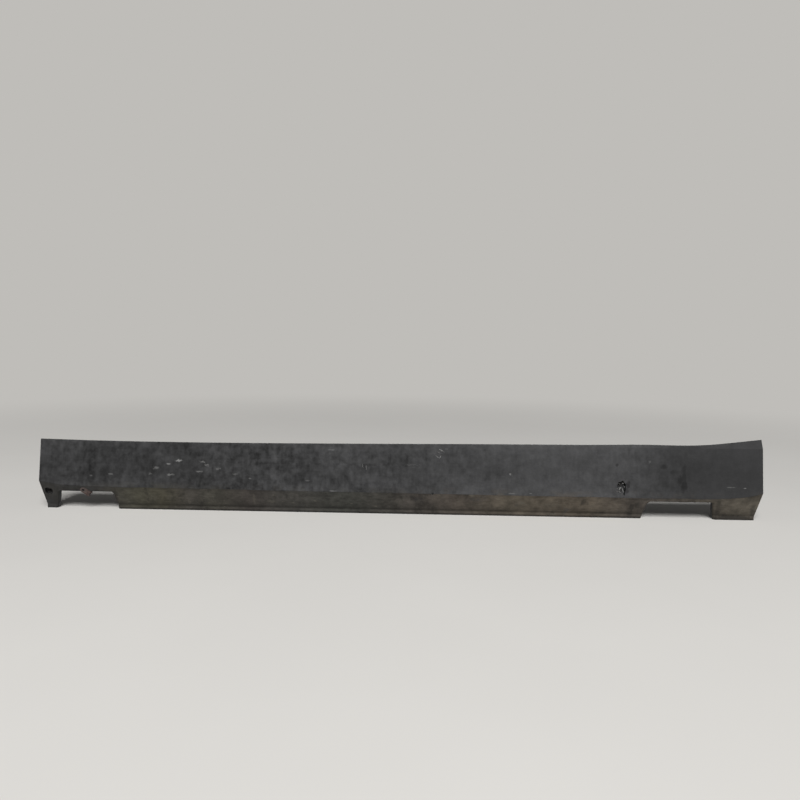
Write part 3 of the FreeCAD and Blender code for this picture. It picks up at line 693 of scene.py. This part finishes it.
def add_burr(shape, path, normals, width, height, sink):
    """Closed low ridge along a path, pointed at both ends."""
    count = len(path)
    rings = []
    for i, (point, normal) in enumerate(zip(path, normals)):
        ahead = path[min(i + 1, count - 1)] - path[max(i - 1, 0)]
        side = ahead.cross(normal).normalized()
        share = math.sin(math.pi * (i + 0.35) / (count - 0.3))
        half = max(width * share / 2, 0.00012)
        rise = max(height * share, 0.00010)
        rings.append([
            shape.verts.new(point - side * half),
            shape.verts.new(point + normal * rise - side * half * 0.35),
            shape.verts.new(point + normal * rise * 0.85 + side * half * 0.4),
            shape.verts.new(point + side * half),
            shape.verts.new(point - normal * sink),
        ])
    for here, there in zip(rings, rings[1:]):
        for k in range(5):
            shape.faces.new((here[k], here[(k + 1) % 5], there[(k + 1) % 5], there[k]))
    shape.faces.new(rings[0][::-1])
    shape.faces.new(rings[-1])


def fine_path(points, steps, wobble, rng):
    """Points along a bent line, with a slight unsteadiness."""
    path = []
    for (x0, z0), (x1, z1) in zip(points, points[1:]):
        for i in range(steps):
            share = i / steps
            path.append((
                x0 + (x1 - x0) * share + rng.uniform(-wobble, wobble),
                z0 + (z1 - z0) * share + rng.uniform(-wobble, wobble),
            ))
    path.append(points[-1])
    return path


def new_piece(name, shape, material):
    """Object from a bmesh, riding on the skirt."""
    bmesh.ops.recalc_face_normals(shape, faces=shape.faces)
    mesh = bpy.data.meshes.new(name)
    shape.to_mesh(mesh)
    shape.free()
    mesh.materials.append(material)
    piece = bpy.data.objects.new(name, mesh)
    bpy.context.scene.collection.objects.link(piece)
    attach(piece, "root")


def add_pocket(shape, moulding, middle, outline, depth, rng):
    """Crumpled plastic pushed in behind a hole, as a closed thin bowl that meets the back of the wall; it
    also stands in for the shade seen through the hole.
    """
    x0, z0 = middle
    _, normal = on_skin(moulding, x0 + outline[0][0] * POCKET_OUTSIDE, z0 + outline[0][1] * POCKET_OUTSIDE)
    rim = []
    for dx, dz in outline:
        point, _ = on_skin(moulding, x0 + dx * POCKET_REACH, z0 + dz * POCKET_REACH)
        rim.append(point - normal * WALL)
    centre = sum(rim, Vector()) / len(rim)
    levels = []
    for share, drop in POCKET_RINGS:
        ring = []
        for point in rim:
            across = (point - centre) * share * rng.uniform(0.92, 1.04)
            ring.append(centre + across - normal * depth * drop * rng.uniform(0.8, 1.15))
        levels.append(ring)
    thick = normal * POCKET_WALL
    front = [[shape.verts.new(p) for p in ring] for ring in levels]
    back = [[shape.verts.new(p - thick) for p in ring] for ring in levels]
    tip = centre - normal * depth
    front_tip = shape.verts.new(tip)
    back_tip = shape.verts.new(tip - thick)
    count = len(rim)
    for layers, end in ((front, front_tip), (back, back_tip)):
        for here, there in zip(layers, layers[1:]):
            for k in range(count):
                shape.faces.new((here[k], here[(k + 1) % count], there[(k + 1) % count], there[k]))
        for k in range(count):
            shape.faces.new((layers[-1][k], layers[-1][(k + 1) % count], end))
    for k in range(count):
        shape.faces.new((front[0][k], back[0][k], back[0][(k + 1) % count], front[0][(k + 1) % count]))


def make_pockets_and_shade(moulding, material):
    """Plastic pushed in behind the torn and broken holes, also standing in for the shade seen through
    them.
    """
    rng = random.Random(11)
    shape = bmesh.new()
    add_pocket(shape, moulding, TEAR_MIDDLE, TEAR_POCKET, TEAR_DEPTH, rng)
    add_pocket(shape, moulding, FOOT_HOLE_MIDDLE, FOOT_POCKET, FOOT_DEPTH, rng)
    new_piece("pushed_in_plastic_and_shade", shape, material)


def make_torn_edges(moulding, material):
    """Whitened slivers that stand up round the torn hole, and a pale sliver on the foot hole that is a
    painted glint.
    """
    shape = bmesh.new()
    for middle, slivers in ((TEAR_MIDDLE, TEAR_SLIVERS), (FOOT_HOLE_MIDDLE, FOOT_GLINT)):
        x0, z0 = middle
        beside, above = SOUND_SKIN
        base, normal = on_skin(moulding, x0 + beside, z0 + above)
        along = Vector((1.0, 0.0, 0.0))
        up = along.cross(normal).normalized()
        if up.z < 0:
            up = -up
        for points, width, height in slivers:
            path = [base + along * (dx - beside) + up * (dz - above) for dx, dz in points]
            add_burr(shape, path, [normal] * len(path), width, height, SLIVER_SINK)
    new_piece("torn_edges_and_glint", shape, material)


def make_scratches(moulding, material):
    """Bright raised scratches on the face."""
    rng = random.Random(4)
    shape = bmesh.new()
    for points, width in SCRATCHES:
        line = fine_path(points, SCRATCH_STEPS, SCRATCH_WOBBLE, rng)
        places = [on_skin(moulding, x, z) for x, z in line]
        path = [point for point, _ in places]
        normals = [normal for _, normal in places]
        add_burr(shape, path, normals, width, SCRATCH_RISE, SCRATCH_SINK)
    new_piece("scratches", shape, material)


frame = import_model()
nodes = frame["nodes"]

make_camera()
make_studio()

finishes = {"skirt_moulding": skirt_plastic(), "speed_nut": nut_steel()}
nylon = clip_nylon()
for name, node in nodes.items():
    for place in node.material_slots:
        place.material = finishes.get(name, nylon)

stressed = stressed_plastic_and_glint()
moulding = nodes["skirt_moulding"]
make_pockets_and_shade(moulding, finishes["skirt_moulding"])
make_torn_edges(moulding, stressed)
make_scratches(moulding, stressed)
light_the_back()

bpy.context.scene.view_settings.view_transform = "Standard"
bpy.context.view_layer.update()
